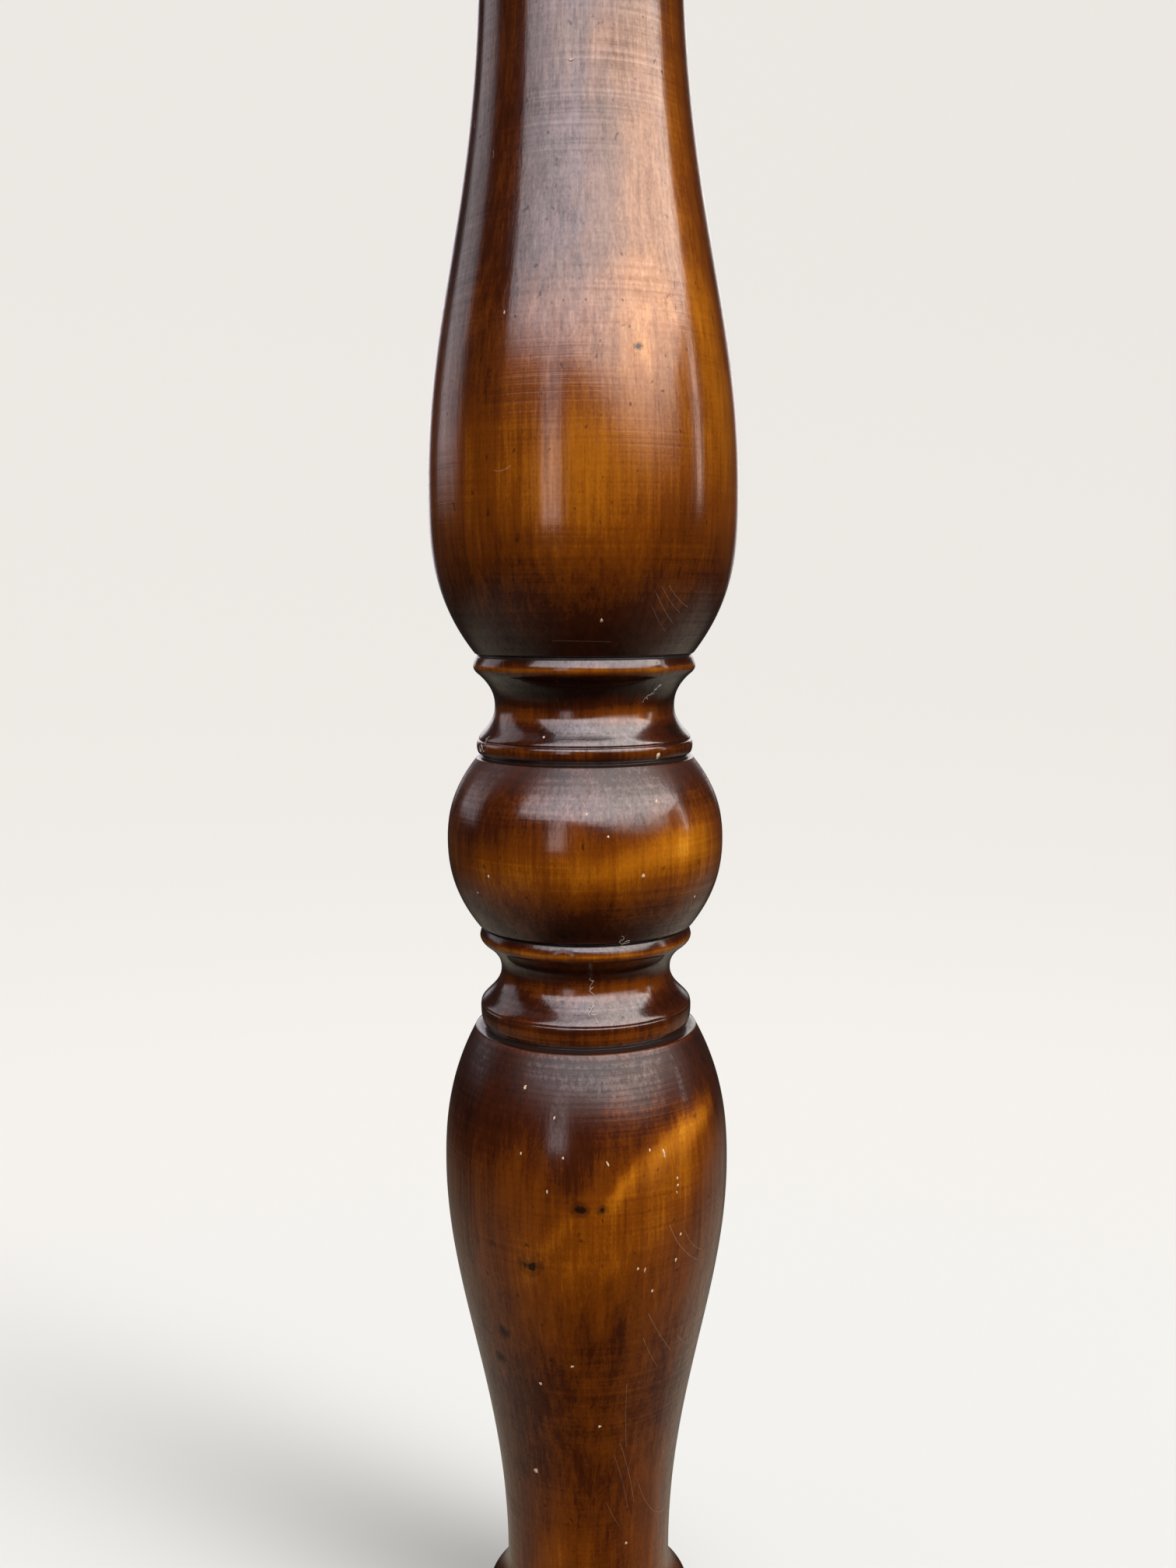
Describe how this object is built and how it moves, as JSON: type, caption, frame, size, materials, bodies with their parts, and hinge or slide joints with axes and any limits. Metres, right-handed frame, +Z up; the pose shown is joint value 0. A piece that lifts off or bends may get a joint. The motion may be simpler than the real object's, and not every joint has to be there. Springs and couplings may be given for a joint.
{
  "type": "newel post",
  "caption": "Turned wooden newel post with square foot and head, a lower and an upper vase, a ball between ringed coves and a flattened ball finial.",
  "frame": {"origin": "middle of the sawn underside of the foot", "axes": "+Z up along the turning axis, -Y out of the front face of both square blocks, +X to the right seen from the front"},
  "size_m": [0.115, 0.115, 1.1671],
  "materials": {
    "varnished_wood": "dark amber-brown stain under gloss varnish"
  },
  "bodies": {
    "root": {"newel_post": "varnished_wood"}
  },
  "joints": []
}
